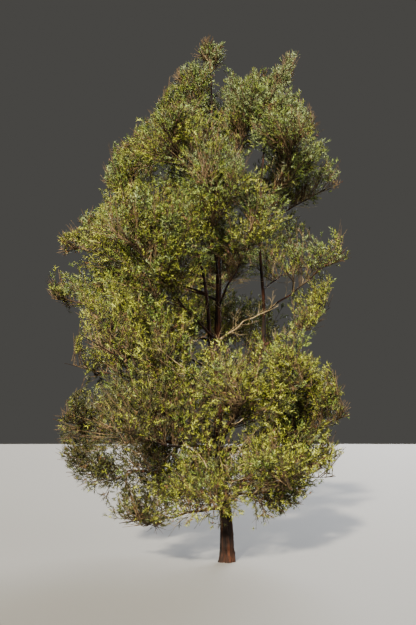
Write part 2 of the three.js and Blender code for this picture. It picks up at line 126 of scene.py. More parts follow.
# Of all the sprays grown, so many stay, where noise of these scales and weights is highest
SPRAYS = 62000
CLUMPS = ((2.2, 0.35), (5.0, 0.65))
CLUMP_CHANCE = 0.18

# Noise and place give each spray its tint, partly as painted light and shade, and the pieces of
# sprays part at a height
TINT_CLUMPS = ((2.6, 0.5), (6, 0.4))
TINT_CHANCE = 0.07
TINT_LIMITS = (0.12, 0.36, 0.56)
BAND_HEIGHT = 3.3

# How far the crown reaches from the trunk's foot at each height, to the left and to the right
OUTLINE = np.array([
    (0.40, 1.55, 0.50), (0.75, 2.00, 1.15), (1.30, 2.38, 1.62), (1.90, 2.44, 1.80),
    (2.40, 2.08, 1.72), (3.10, 2.26, 1.48), (3.75, 2.68, 1.66), (4.20, 2.60, 1.92),
    (4.60, 2.44, 1.83), (5.00, 2.02, 1.74), (5.60, 1.92, 1.84), (5.95, 1.86, 1.71),
    (6.15, 1.54, 1.64), (6.90, 1.10, 1.34), (7.30, 0.90, 1.16), (7.45, 0.75, 1.20),
    (7.60, 0.62, 1.28), (7.74, 0.56, 1.26), (7.82, 0.50, 0.30), (7.95, 0.40, 0.02),
])

# The crown's depth from front to back as a share of its width, how its top falls away there,
# how far it dips between its two peaks, and how far its outline draws in between tufts
CROWN_MIDDLE = (-0.11, 0, 0)
LOWEST_FOLIAGE = 0.43
CROWN_MARGIN = 0.04
DEPTH_SHARE = 0.96
TOP_FALL = 0.6
PEAK_DIP = 0.48
RAGGEDNESS = 0.15

# The share of its plumes that a limb lacks, where the sky shows through it
OPEN_LIMBS = {
    "right_mid": 0.55, "right_upper": 0.58, "right_reach": 0.5, "right_low": 0.2,
    "back_right_mid": 0.65, "back_right_upper": 0.65, "front_right_upper": 0.45,
    "back_right_high": 0.55, "front_skirt": 0.4, "front_low": 0.2,
}

# Where tangles of bare twigs show among the foliage
TANGLES = [(-0.5, -1.25, 2.5), (0.05, -1.35, 1.35), (0.2, -1.1, 2.1)]
TANGLE_SPREAD = 0.16

# How many bare twigs there are on a bough, on a lighter limb, on the trunk and in a tangle
BARE_ON_BOUGH = 9
BARE_ON_LIGHT = 5
BARE_ON_TRUNK = 70
BARE_IN_TANGLE = 9

# Bark: how many strips and threads there are to a metre across the stem and along it, and how far
# they stand out, as a share of the stem's radius
STRIPS = (38, 3.2)
THREADS = (110, 7)
TRUNK_RELIEF = 0.3
LEADER_RELIEF = 0.22
BOUGH_RELIEF = 0.2
DEAD_RELIEF = 0.25

# The camera stands at a standing person's eye height and looks a little upward
EYE = (-0.253, -8.690, 1.6)
PITCH = 11.85
FLOOR_RADIUS = 250


def unit(v):
    return v / np.maximum(np.linalg.norm(v, axis=-1, keepdims=True), 1e-9)


def mix(a, b, share):
    return a + (b - a) * share


def smoothstep(x, low, high):
    t = np.clip((x - low) / (high - low), 0, 1)
    return t * t * (3 - 2 * t)


class Spline:
    """A centripetal curve through points given in millimetres, which it turns into metres."""

    def __init__(self, points):
        self.points = np.array(points, float) / 1000

    def at(self, t):
        p = self.points
        p = np.vstack([2 * p[0] - p[1], p, 2 * p[-1] - p[-2]])
        spans = len(self.points) - 1
        place = np.clip(np.atleast_1d(t) * spans, 0, spans)
        i = np.minimum(place.astype(int), spans - 1)
        w = (place - i)[:, None]
        x0, x1, x2, x3 = p[i], p[i + 1], p[i + 2], p[i + 3]
        d0, d1, d2 = (
            np.linalg.norm(b - a, axis=1)[:, None] ** 0.5
            for a, b in ((x0, x1), (x1, x2), (x2, x3))
        )
        m1 = d1 * ((x1 - x0) / d0 - (x2 - x0) / (d0 + d1) + (x2 - x1) / d1)
        m2 = d1 * ((x2 - x1) / d1 - (x3 - x1) / (d1 + d2) + (x3 - x2) / d2)
        return (
            x1
            + m1 * w
            + (-3 * x1 + 3 * x2 - 2 * m1 - m2) * w**2
            + (2 * x1 - 2 * x2 + m1 + m2) * w**3
        )

    def tangent(self, t):
        t = np.atleast_1d(t)
        return unit(self.at(np.minimum(t + 1e-3, 1)) - self.at(np.maximum(t - 1e-3, 0)))

    def share_at(self, height):
        """The share of the curve, which only rises, that lies at a height."""
        t = np.linspace(0, 1, 2001)
        return np.interp(height, self.at(t)[:, 2], t)


TRUNK_LINE = Spline([
    [0, 0, 0], [-10, 0, 550], [-75, 8, 1100], [-105, 10, 1650],
    [-120, 0, 2700], [-95, -10, 4100], [-165, 0, 5500], [-205, 0, 7250],
])
LEADERS = {
    "right_leader": (0.046, 0.010, Spline([
        [-100, 10, 1560], [40, 35, 1800], [340, 75, 2260], [530, 95, 2800],
        [575, 95, 3500], [530, 80, 4400], [570, 60, 5500], [700, 40, 6750],
    ])),
    "left_leader": (0.034, 0.009, Spline([
        [-118, 0, 2420], [-205, -15, 2800], [-250, -25, 3400], [-320, -35, 3970],
        [-480, -45, 4500], [-760, -50, 5080], [-1120, -45, 5520],
    ])),
}

BOUGH = {"bough": True}
LIGHT = {}
ON_RIGHT = {"stem": "right_leader"}
ON_LEFT = {"stem": "left_leader"}
AT_TIP = None

# Each row has a limb's name, the height where it leaves its stem, its tip's azimuth, reach and
# height, how steeply it sets out, its foliage's half-width and its kind, in millimetres and degrees
LIMBS = [
    ("left_skirt", 1200, 173, 2300, 1150, 0.1, 560, BOUGH),
    ("front_left_skirt", 700, 222, 1750, 640, 0.3, 500, BOUGH),
    ("front_skirt", 950, 260, 1500, 880, 0.1, 450, LIGHT),
    ("front_right_skirt", 830, 302, 1650, 1050, 0.1, 520, LIGHT),
    ("right_skirt", 1050, 3, 1530, 1100, 0.1, 500, LIGHT),
    ("back_right_skirt", 900, 62, 1600, 950, 0.2, 540, LIGHT),
    ("back_left_skirt", 1000, 122, 2050, 1000, 0.1, 600, BOUGH),
    ("left_low", 1480, 187, 2380, 1880, -0.1, 600, BOUGH),
    ("front_left_low", 1350, 236, 2200, 1700, -0.1, 640, BOUGH),
    ("front_low", 1560, 276, 1800, 2100, -0.1, 540, LIGHT),
    ("right_low", 1430, 341, 1720, 1930, -0.1, 540, BOUGH),
    ("back_right_low", 1380, 42, 1850, 2000, -0.1, 600, BOUGH),
    ("back_low", 1560, 93, 2050, 2380, -0.1, 600, BOUGH),
    ("back_left_low", 1620, 143, 2330, 2150, -0.1, 640, BOUGH),
    ("left_mid", 2150, 176, 2360, 2700, 0, 560, BOUGH),
    ("front_left_mid", 2080, 219, 2320, 2850, -0.1, 640, BOUGH),
    ("front_right_mid", 1980, 309, 1700, 2280, -0.1, 480, LIGHT),
    ("right_mid", 2950, 8, 1600, 3550, -0.1, 380, ON_RIGHT),
    ("back_right_mid", 2480, 60, 1830, 3200, -0.1, 600, LIGHT),
    ("back_mid", 2650, 92, 2180, 3620, -0.1, 620, LIGHT),
    ("back_left_mid", 2580, 125, 2300, 3350, -0.1, 660, LIGHT),
    ("left_reach", 3000, 180, 2600, 3700, 0, 520, ON_LEFT),
    ("left_upper", 3700, 189, 2380, 4400, -0.1, 600, ON_LEFT),
    ("front_left_upper", 3000, 236, 2250, 4000, -0.1, 680, LIGHT),
    ("front_upper", 3850, 262, 1850, 4700, -0.1, 620, LIGHT),
    ("front_right_upper", 3500, 284, 1450, 4350, -0.1, 500, LIGHT),
    ("right_upper", 3420, 358, 1780, 4350, 0, 460, ON_RIGHT),
    ("back_right_upper", 3800, 48, 1850, 4500, 0, 600, ON_RIGHT),
    ("back_upper", 3650, 88, 2080, 4560, -0.1, 600, LIGHT),
    ("back_left_upper", 3600, 128, 2130, 4600, -0.1, 660, LIGHT),
    ("left_rise", 4400, 198, 1780, 5130, 0, 500, ON_LEFT),
    ("left_high", AT_TIP, 178, 1500, 5900, 0.1, 480, ON_LEFT),
    ("front_high", 4750, 238, 1600, 5650, 0, 600, LIGHT),
    ("right_reach", 4870, 358, 1800, 5450, -0.1, 440, ON_RIGHT),
    ("front_right_high", 4900, 311, 1520, 5650, 0, 540, ON_RIGHT),
    ("back_high", 4750, 114, 1620, 5700, 0, 620, LIGHT),
    ("back_right_high", 5000, 47, 1560, 5750, 0, 580, ON_RIGHT),
    ("left_shoulder", 5550, 174, 1080, 6680, 0.1, 460, LIGHT),
    ("right_shoulder", 5650, 359, 1460, 6450, 0, 460, ON_RIGHT),
    ("front_top", 5450, 320, 800, 6480, 0, 480, LIGHT),
    ("top_left", 6150, 182, 720, 7320, 0.15, 360, LIGHT),
    ("top_right", 6050, 345, 520, 6930, 0, 380, LIGHT),
    ("back_top", 6100, 102, 950, 6800, 0, 460, LIGHT),
    ("right_peak", AT_TIP, 2, 1130, 7380, 0.2, 300, ON_RIGHT),
    ("crown_top", AT_TIP, 178, 300, 7850, 0, 215, LIGHT),
]

# The dead bough has a row of the same kind, and the dead stub three points in metres
DEAD_BOUGH = ("dead_bough", 3000, 322, 900, 3400, 0.2, 100, LIGHT)
DEAD_SEED = 50
DEAD_RADII = (0.013, 0.003)
STUB = np.array([(-0.1, 0.0, 1.46), (0.12, -0.12, 1.51), (0.35, -0.2, 1.63)])
STUB_RADII = (0.017, 0.009)


def trunk_radius(height):
    """The trunk's radius: it tapers, thins above the right leader's fork and flares at the foot."""
    tapered = mix(TRUNK_RADIUS, TRUNK_TIP_RADIUS, height / TRUNK_TOP)
    above = smoothstep(height, FORK_HEIGHT - 0.15, FORK_HEIGHT + 0.25)
    thinned = 1 - (1 - FORK_LOSS) * above * (1 - height / TRUNK_TOP)
    return tapered * thinned + FLARE * np.exp(-height / FLARE_HEIGHT)


class Limb:
    """One limb: a curve from its parent's middle to its tip, which wavers a little."""

    def __init__(self, seed, row):
        self.name, leaves, azimuth, reach, tip, climb, spread, more = row
        self.seed = seed
        self.bough = more.get("bough", False)
        self.leader = more.get("stem")
        self.reach, self.spread = reach / 1000, spread / 1000
        self.leafy_from = 0.0 if leaves is AT_TIP else LEAFY_FROM
        root, parent_radius = seat(self.leader, leaves)
        turned = math.radians(azimuth)
        self.azimuth = turned
        end = np.array((self.reach * math.cos(turned), self.reach * math.sin(turned), tip / 1000))
        bend = np.append(
            mix(root[:2], end[:2], 0.5 - 0.5 * climb), mix(root[2], end[2], 0.5 + 0.5 * climb)
        )
        self.points = np.array((root, bend, end))
        share = CARRY_ON_SHARE if leaves is AT_TIP else ROOT_SHARE
        self.root_radius = min(BOUGH_RADIUS if self.bough else LIGHT_RADIUS, share * parent_radius)
        self.waver = np.random.default_rng(seed).uniform(0, 2 * math.pi, (2, 3))
        self.length = np.linalg.norm(np.diff(self.at(np.linspace(0, 1, 60)), axis=0), axis=1).sum()
        self.sites = self.at(np.array(SITES)) + UP * SITE_LIFT * self.spread

    def at(self, t):
        t = np.atleast_1d(t)[:, None]
        a, b, c = self.points
        wave = np.sin(9 * t + self.waver[0]) + 0.5 * np.sin(21 * t + self.waver[1])
        curve = a * (1 - t) ** 2 + 2 * b * t * (1 - t) + c * t**2
        return curve + WAVER * wave * np.sin(math.pi * t)

    def tangent(self, t):
        t = np.atleast_1d(t)
        return unit(self.at(t + 2e-3) - self.at(t - 2e-3))

    def radius(self, t):
        return mix(self.root_radius, STEM_TIP_RADIUS, np.clip(t, 0, 1) ** 0.8)


def seat(leader, leaves):
    """The point where a limb leaves its stem, and the stem's radius there."""
    if leader is None:
        height = TRUNK_TOP if leaves is AT_TIP else leaves / 1000
        return TRUNK_LINE.at(TRUNK_LINE.share_at(height))[0], trunk_radius(height)
    root, tip, line = LEADERS[leader]
    t = 1.0 if leaves is AT_TIP else float(line.share_at(leaves / 1000))
    return line.at(t)[0], mix(root, tip, t)


limbs = [Limb(i + 1, row) for i, row in enumerate(LIMBS)]
all_sites = np.array([limb.sites for limb in limbs])


# Growth, worked out for whole arrays of shoots at once

def sprout(along, turn, slant, lift):
    """Directions turned round others and slanted off them, as a shoot leaves its twig."""
    sideways = np.cross(along, UP)
    sideways[np.linalg.norm(sideways, axis=1) < 0.05] = (1, 0, 0)
    sideways = unit(sideways)
    upward = np.cross(sideways, along)
    turn = np.broadcast_to(turn, len(along))[:, None]
    slant = np.broadcast_to(slant, len(along))[:, None]
    outward = np.cos(turn) * sideways + np.sin(turn) * upward
    return unit(np.cos(slant) * along + np.sin(slant) * outward + lift * UP)


def ascending(way, height):
    """Directions turned upward, the more the further down they point, but not near the ground."""
    return unit(way + UP * (0.2 * rising(height))[:, None] * (1 - way[:, 2:]))


def rising(height):
    """How much shoots turn upward at each height. On the lowest limbs they spread and hang."""
    return mix(-0.3, 1, smoothstep(height, 0.7, 1.7))


def shoot_point(origin, direction, length, t):
    """A point of a shoot that sets out straight and turns up a little."""
    t = np.broadcast_to(t, len(origin))[:, None]
    length = np.broadcast_to(length, len(origin))[:, None]
    return origin + direction * length * t + UP * TURN_UP * length * t**2


def shoot_tangent(direction, t):
    t = np.broadcast_to(t, len(direction))[:, None]
    return unit(direction + UP * 2 * TURN_UP * t)


def across_of(point, direction, roll):
    """The direction across a spray whose face is turned outward and upward, and then rolled."""
    outward = point * (1, 1, 0) - CROWN_MIDDLE
    facing = 0.8 * unit(outward) + 0.6 * UP
    across = np.cross(direction, facing)
    across[np.linalg.norm(across, axis=1) < 0.05] = (1, 0, 0)
    across = unit(across)
    roll = roll[:, None]
    return np.cos(roll) * across + np.sin(roll) * np.cross(direction, across)


def reach_at(points):
    """How far the crown reaches at each point's height and in its direction."""
    heights, left, right = OUTLINE.T
    x, y, z = points.T
    leftward = (1 - x / np.maximum(np.hypot(x, y), 1e-6)) / 2
    between_peaks = smoothstep(x, -0.05, 0.2) * (1 - smoothstep(x, 0.6, 1.1))
    between_peaks = between_peaks * smoothstep(z, 6.6, 7.0)
    between_peaks *= 1 + 0.3 * np.sin(13 * x + 6 * y)
    z = z + TOP_FALL * np.abs(y) * smoothstep(z, 5.8, 6.8) + PEAK_DIP * between_peaks
    reach = mix(np.interp(z, heights, right), np.interp(z, heights, left), leftward)
    return reach * mix(1, DEPTH_SHARE, 4 * leftward * (1 - leftward))


def in_crown(points, margin):
    """Which points lie inside the crown's outline, by a margin."""
    inward = np.hypot(points[:, 0], points[:, 1]) < reach_at(points) - margin
    return inward & (points[:, 2] > LOWEST_FOLIAGE + margin) & (points[:, 2] < TREE_HEIGHT - margin)


def raggedness(points):
    """How far the outline draws in between the tufts that stand out from it."""
    x, y, z = points.T
    turned = np.arctan2(y, x)
    waves = np.sin(10.3 * z + 4 * turned) * np.sin(6.1 * z - 7 * turned)
    waves += 0.5 * np.sin(17 * z + 9 * turned)
    return RAGGEDNESS * (0.5 + 0.4 * waves)


def in_tufts(points):
    """Which points lie inside the crown's outline where it is drawn in between its tufts."""
    return in_crown(points, CROWN_MARGIN + raggedness(points))


def in_space(points, limb):
    """Which points lie in a limb's space, or just past it, and inside the crown."""
    distances = np.linalg.norm(points[:, None, None] - all_sites[None], axis=3).min(axis=2)
    own = distances[:, limb.seed - 1].copy()
    distances[:, limb.seed - 1] = np.inf
    return (own < distances.min(axis=1) + SPACE_SLACK) & in_crown(points, CROWN_MARGIN)


def fitted(limb, origin, direction, length):
    """Plumes as long as fits in their limb's space, and which of them fit at all."""
    size = np.zeros(len(origin))
    for share in PLUME_SIZES:
        tip = origin + direction * (share * length)[:, None]
        middle = origin + direction * (PLUME_MIDDLE * share * length)[:, None]
        fits = in_space(tip, limb) & in_space(middle, limb) & (size == 0)
        size[fits] = share
    return size * length, size > 0


def plumes_of(limb, rng):
    """A limb's twigs, as origin, direction and length, and its plumes, with a direction across."""
    k = np.arange(TWIGS)
    along = mix(TWIG_FIRST, TWIG_LAST, (k * GOLDEN_SHARE + 0.1 * rng.random(TWIGS)) % 1)
    turn = k * GOLDEN_TURN + 0.8 * rng.random(TWIGS) + limb.seed
    length = TWIG_SHARE * limb.spread * mix(*TWIG_LENGTHS, along) * rng.uniform(*TWIG_CHANCE, TWIGS)
    t = mix(limb.leafy_from, LEAFY_TO, along)
    origin = limb.at(t)
    direction = sprout(limb.tangent(t), turn, TWIG_SLANT, TWIG_LIFT)
    starts = [limb.at(LAST_PLUME_FROM), shoot_point(origin, direction, length, 1)]
    ways = [limb.tangent(LAST_PLUME_FROM), shoot_tangent(direction, 1)]
    hand = np.where(rng.random(TWIGS) < 0.5, SIDE_TILT, math.pi - SIDE_TILT)
    for share, side_turn in SIDE_PLUMES:
        starts.append(shoot_point(origin, direction, length, share))
        lift = PLUME_LIFT * rising(starts[-1][:, 2])[:, None]
        ways.append(sprout(shoot_tangent(direction, share), hand + side_turn, PLUME_SLANT, lift))
    start = np.vstack(starts)
    way = ascending(np.vstack(ways), start[:, 2])
    long = PLUME_SHARE * limb.spread * rng.uniform(*PLUME_CHANCE, len(start))
    long, fits = fitted(limb, start, way, long)
    fits &= rng.random(len(fits)) >= OPEN_LIMBS.get(limb.name, 0)
    across = across_of(start, way, rng.uniform(-PLUME_ROLL, PLUME_ROLL, len(start)))
    kept = fits[1 : TWIGS + 1] | fits[TWIGS + 1 : 2 * TWIGS + 1]
    twigs = (origin[kept], direction[kept], length[kept])
    return twigs, (start[fits], way[fits], long[fits], across[fits])


def shoots_of(plumes, rng):
    """Shoots in a spiral along each plume, in a blade's outline, and how far out each one is."""
    start, way, long, across = plumes
    counts = np.maximum(4, np.round(long / SHOOT_SPACING)).astype(int)
    owner = np.repeat(np.arange(len(start)), counts)
    place = np.arange(len(owner)) - np.repeat(np.cumsum(counts) - counts, counts)
    share = (place + rng.uniform(0.2, 0.8, len(owner))) / counts[owner]
    origin = shoot_point(start[owner], way[owner], long[owner], PLUME_TO * share) - (
        UP * TURN_UP * (long[owner] * share**2)[:, None] * PLUME_SAG
    )
    turn = place * GOLDEN_TURN + rng.uniform(-0.5, 0.5, len(owner)) + owner
    facing = np.cross(way[owner], across[owner])
    flat = SHOOT_FLATNESS * np.sin(turn)[:, None]
    outward = np.cos(turn)[:, None] * across[owner] + flat * facing
    slant = rng.uniform(*SHOOT_SLANTS, len(owner))[:, None]
    direction = unit(np.cos(slant) * way[owner] + np.sin(slant) * outward + SHOOT_LIFT * UP)
    width = BLADE_HALF_WIDTH * np.sin(math.pi * np.clip(0.12 + 0.78 * share, 0, 1)) ** 0.8
    length = long[owner] * width * rng.uniform(*SHOOT_CHANCE, len(owner))
    return origin, direction, np.maximum(length, SHORTEST_SHOOT), 0.3 + 0.7 * share


def sprays_of(origin, direction, length, plume_share, rng):
    """Sprays to either side along each shoot and one at its end, and how far out each one is."""
    counts = np.maximum(1, np.round(length / SPRAY_SPACING)).astype(int)
    shoot = np.repeat(np.arange(len(origin)), counts)
    place = np.arange(len(shoot)) - np.repeat(np.cumsum(counts) - counts, counts)
    share = (place + 1) / counts[shoot]
    point = origin[shoot] + direction[shoot] * (length[shoot] * share * SPRAY_TO)[:, None]
    last = place == counts[shoot] - 1
    slant = np.where(last, 0.15, rng.uniform(*SPRAY_SLANTS, len(shoot)))
    turn = place * math.pi + rng.uniform(-0.7, 0.7, len(shoot)) + shoot
    way = sprout(direction[shoot], turn, slant, SPRAY_LIFT)
    return point, unit(way + rng.normal(0, 0.1, way.shape)), share * plume_share[shoot]


def spray_shape(rng):
    """One spray: pointed shoots of a face each, two along its middle and the rest round it."""
    k = np.arange(SPRAY_SHOOTS)
    middle = k < 2
    share = np.where(middle, 0, 0.075 * k - 0.1)
    turn = k * GOLDEN_TURN + rng.uniform(-0.4, 0.4, len(k))
    slant = np.where(middle, 0.02, rng.uniform(*SPRAY_SHOOT_SLANTS, len(k)))
    sideways = (np.sin(slant) * np.cos(turn), 0.8 * np.sin(slant) * np.sin(turn))
    way = np.stack([np.cos(slant), *sideways], axis=1)
    side = rng.uniform(*SPRAY_SHOOT_LENGTHS, len(k)) * (1 - 0.3 * share)
    length = np.where(middle, 1, side)[:, None]
    root = np.stack([share, 0 * share, 0 * share], axis=1)
    half = SPRAY_SHOOT_HALF_WIDTH * unit(np.cross(way, rng.normal(0, 1, way.shape)))
    points = np.stack([root - half, root + half, root + way * length], axis=1)
    return points.reshape(-1, 3), np.arange(3 * len(k)).reshape(-1, 3)


def tufts(points, *octaves):
    """Smooth noise at each point, as a sum of octaves of a scale and a weight."""
    return np.array([sum(w * noise.noise(Vector(p) * s) for s, w in octaves) for p in points])


def deal_tints(point, outer, rng):
    """A tint for each spray: warm low down, bluer high up and, above a third of the height, warmer
    on the left and bluer on the right as painted sunlight and shade; darkest low down and low on
    the left as painted shade, and inside as older foliage and painted shade; brown inside.
    """
    x, _, z = point.T
    height = z / TREE_HEIGHT
    # Bluer with height; above about a third of the height, warmer on the left and bluer on the
    # right: painted sunlight on the left and painted shade on the right, over the foliage's own
    # change of tone.
    cool = 0.6 * height + (0.14 * height - 0.05) * x + tufts(point + 7, *TINT_CLUMPS)
    cool += rng.normal(0, TINT_CHANCE, len(point))
    tint = np.select([cool < limit for limit in TINT_LIMITS], ["yellow", "olive", "green"], "blue")
    # Painted shade: the darkest sprays are dealt more often low down and low on the left, and
    # inside the plumes, where they also stand for older, darker foliage.
    inside = np.clip(0.55 - outer, 0, 1)
    painted_shade_low_left = smoothstep(-x, 0.3, 1.4) * smoothstep(-z, -3.2, -1.8)
    low = smoothstep(-z, -3.4, -2.0)
    tint[rng.random(len(point)) < 0.13 + 0.7 * inside + 0.55 * painted_shade_low_left + 0.14 * low] = "deep"
    tint[rng.random(len(point)) < 0.03 + 0.35 * inside] = "brown"
    return tint


# Meshes from arrays

def mesh_object(name, points, faces, material, smooth=False):
    """An object from points, and faces that each have the same number of corners."""
    mesh = bpy.data.meshes.new(name)
    faces = np.asarray(faces)
    mesh.vertices.add(len(points))
    mesh.vertices.foreach_set("co", np.asarray(points, np.float32).ravel())
    mesh.loops.add(faces.size)
    mesh.loops.foreach_set("vertex_index", faces.astype(np.int32).ravel())
    mesh.polygons.add(len(faces))
    starts = np.arange(0, faces.size, faces.shape[1], dtype=np.int32)
    mesh.polygons.foreach_set("loop_start", starts)
    mesh.polygons.foreach_set("use_smooth", np.full(len(faces), smooth))
    mesh.update(calc_edges=True)
    mesh.validate()
    mesh.materials.append(material)
    made = bpy.data.objects.new(name, mesh)
    bpy.context.scene.collection.objects.link(made)
    return made


def joined(parts):
    """Points and faces of several parts as one."""
    points = np.vstack([p for p, _ in parts])
    firsts = np.cumsum([0] + [len(p) for p, _ in parts[:-1]])
    return points, np.vstack([f + first for (_, f), first in zip(parts, firsts)])


def tubes(centres, radii, sides):
    """Tubes round rows of centres, all with as many rings, as points and quads."""
    count, rings = radii.shape
    along = unit(np.gradient(centres, axis=1))
    overall = unit(centres[:, -1] - centres[:, 0])
    helper = np.where(np.abs(overall[:, 2:]) > 0.8, (1.0, 0, 0), UP)[:, None]
    across = unit(np.cross(along, np.broadcast_to(helper, along.shape)))
    facing = np.cross(along, across)
    angle = 2 * math.pi * np.arange(sides) / sides
    ring = np.cos(angle)[:, None] * across[:, :, None] + np.sin(angle)[:, None] * facing[:, :, None]
    points = centres[:, :, None] + radii[:, :, None, None] * ring
    index = np.arange(count * rings * sides).reshape(count, rings, sides)
    a, b = index[:, :-1], index[:, 1:]
    quads = np.stack([a, b, np.roll(b, -1, 2), np.roll(a, -1, 2)], axis=-1)
    return points.reshape(-1, 3), quads.reshape(-1, 4)


def spikes(origin, direction, length, radius):
    """Three-sided tapered shoots, as points and triangles."""
    across = unit(np.cross(direction, np.where(np.abs(direction[:, 2:]) > 0.8, (1.0, 0, 0), UP)))
    facing = np.cross(direction, across)
    angle = 2 * math.pi * np.arange(3)[:, None] / 3
    ring = np.cos(angle) * across[:, None] + np.sin(angle) * facing[:, None]
    base = origin[:, None] + radius * ring
    points = np.concatenate([base, (origin + direction * length[:, None])[:, None]], axis=1)
    sides = np.array([(0, 1, 3), (1, 2, 3), (2, 0, 3)])
    first = 4 * np.arange(len(origin))[:, None, None]
    return points.reshape(-1, 3), (first + sides).reshape(-1, 3)


def ball_shape():
    """A ball of twenty faces."""
    shape = bmesh.new()
    bmesh.ops.create_icosphere(shape, subdivisions=1, radius=1)
    points = np.array([v.co for v in shape.verts])
    faces = np.array([[v.index for v in f.verts] for f in shape.faces])
    shape.free()
    return points, faces


def copies(shape, origin, direction, across, scale):
    """Copies of a small shape, its first axis along direction, as points and faces."""
    points, faces = shape
    facing = np.cross(direction, across)
    placed = (
        origin[:, None]
        + scale[:, None, None]
        * (
            points[None, :, :1] * direction[:, None]
            + points[None, :, 1:2] * across[:, None]
            + points[None, :, 2:] * facing[:, None]
        )
    )
    moved = faces[None] + (np.arange(len(origin)) * len(points))[:, None, None]
    return placed.reshape(-1, 3), moved.reshape(-1, faces.shape[1])


# Materials

def nodes_of(name, roughness):
    """A new material, its node tree and its shader."""
    material = bpy.data.materials.new(name)
    material.use_nodes = True
    tree = material.node_tree
    shader = tree.nodes["Principled BSDF"]
    shader.inputs["Roughness"].default_value = roughness
    return material, tree, shader


def add(tree, kind, **values):
    """A node whose values go to its sockets of those names, or else to its properties."""
    node = tree.nodes.new(kind)
    for key, value in values.items():
        if key in node.inputs:
            node.inputs[key].default_value = value
        else:
            setattr(node, key, value)
    return node


def srgb(*levels):
    """A linear colour from levels of 0 to 255."""
    linear = [(v / 255 / 12.92) if v < 10.3 else ((v / 255 + 0.055) / 1.055) ** 2.4 for v in levels]
    return (*linear, 1.0)


def ramp(tree, stops):
    """A colour ramp with a colour at each stop."""
    node = add(tree, "ShaderNodeValToRGB")
    elements = node.color_ramp.elements
    while len(elements) < len(stops):
        elements.new(0.5)
    for element, (place, colour) in zip(elements, stops):
        element.position = place
        element.color = colour
    return node


def coordinates(tree, scale):
    """The object's own coordinates, scaled."""
    source = add(tree, "ShaderNodeTexCoord")
    mapping = add(tree, "ShaderNodeMapping")
    mapping.inputs["Scale"].default_value = scale
    tree.links.new(source.outputs["Object"], mapping.inputs["Vector"])
    return mapping


def noise_node(tree, mapping, scale, detail, roughness=0.6):
    """A noise texture on those coordinates."""
    node = add(tree, "ShaderNodeTexNoise", Scale=scale, Detail=detail, Roughness=roughness)
    tree.links.new(mapping.outputs["Vector"], node.inputs["Vector"])
    return node


def foliage_material(name, dark, middle, light):
    """Scale leaves: three near tints that change from shoot to shoot."""
    material, tree, shader = nodes_of(name, roughness=0.6)
    fine = noise_node(tree, coordinates(tree, (1, 1, 1)), scale=40.0, detail=2.0)
    tint = ramp(tree, [(0.4, dark), (0.5, middle), (0.6, light)])
    tree.links.new(fine.outputs["Fac"], tint.inputs["Fac"])
    tree.links.new(tint.outputs["Color"], shader.inputs["Base Color"])
    shader.inputs["Specular IOR Level"].default_value = 0.3
    return material


def bark_material(name, dark, middle, light, stretch, bump):
    """Fibrous bark: strips that run along the stem, darker in their clefts."""
    material, tree, shader = nodes_of(name, roughness=0.9)
    along, patchy = coordinates(tree, (1, 1, stretch)), coordinates(tree, (1, 1, 0.4))
    strips = noise_node(tree, along, scale=55.0, detail=6.0, roughness=0.65)
    patches = noise_node(tree, patchy, scale=6.0, detail=3.0)
    tint = ramp(tree, [(0.4, dark), (0.5, middle), (0.62, light)])
    blend = add(tree, "ShaderNodeMath", operation="MULTIPLY_ADD")
    blend.inputs[1].default_value = 0.6
    tree.links.new(strips.outputs["Fac"], blend.inputs[0])
    scaled = add(tree, "ShaderNodeMath", operation="MULTIPLY")
    scaled.inputs[1].default_value = 0.4
    tree.links.new(patches.outputs["Fac"], scaled.inputs[0])
    tree.links.new(scaled.outputs[0], blend.inputs[2])
    tree.links.new(blend.outputs[0], tint.inputs["Fac"])
    tree.links.new(tint.outputs["Color"], shader.inputs["Base Color"])
    shader.inputs["Specular IOR Level"].default_value = 0.15
    relief = add(tree, "ShaderNodeBump", Strength=bump, Distance=0.01)
    tree.links.new(strips.outputs["Fac"], relief.inputs["Height"])
    tree.links.new(relief.outputs["Normal"], shader.inputs["Normal"])
    return material


def cone_material():
    """Ripe cones: dark red-brown with a paler bloom."""
    material, tree, shader = nodes_of("ripe_cones", roughness=0.45)
    bloom = noise_node(tree, coordinates(tree, (1, 1, 1)), scale=90.0, detail=3.0)
    tint = ramp(tree, [(0.35, srgb(52, 22, 16)), (0.6, srgb(84, 40, 28)), (0.8, srgb(112, 76, 60))])
    tree.links.new(bloom.outputs["Fac"], tint.inputs["Fac"])
    tree.links.new(tint.outputs["Color"], shader.inputs["Base Color"])
    return material


# The juniper bark's reddish-brown tints are darkened as a whole: painted shade of the crown on the
# trunk, leaders and boughs.
SHADE_DARKENED_BARK = bark_material(
    "juniper_bark_darkened_for_shade", srgb(4, 2, 1), srgb(21, 11, 6), srgb(60, 32, 17), stretch=0.06, bump=1.0
)
TWIG_BARK = bark_material(
    "twig_bark", srgb(26, 19, 11), srgb(54, 42, 27), srgb(96, 80, 54), stretch=0.2, bump=0.3
)
DEAD_WOOD = bark_material(
    "dead_wood", srgb(58, 48, 34), srgb(104, 90, 64), srgb(150, 134, 100), stretch=0.1, bump=0.5
)
GREENS = {
    tint: foliage_material(f"{tint}_sprays", srgb(*dark), srgb(*middle), srgb(*light))
    for tint, dark, middle, light in (
        # The first, darkest tint is partly a darker tone of the foliage and partly painted shade.
        ("deep", (8, 9, 2), (28, 30, 6), (62, 64, 16)),
        ("olive", (16, 20, 3), (60, 66, 12), (116, 122, 34)),
        ("yellow", (26, 28, 4), (86, 90, 15), (143, 147, 46)),
        ("green", (14, 20, 5), (54, 68, 18), (108, 124, 46)),
        ("blue", (18, 24, 9), (62, 74, 36), (122, 134, 82)),
        ("brown", (26, 16, 7), (54, 38, 18), (94, 70, 36)),
    )
}


# Wood

def bark_relief(points, strength):
    """How far bark stands out at each point: long strips with clefts between, and fine threads."""
    out = np.empty(len(points))
    for i, (x, y, z) in enumerate(points):
        strip, thread = (
            noise.noise(Vector((x * across, y * across, z * along)))
            for across, along in (STRIPS, THREADS)
        )
        out[i] = 0.7 * (0.35 - abs(strip)) + 0.3 * thread
    return strength * out


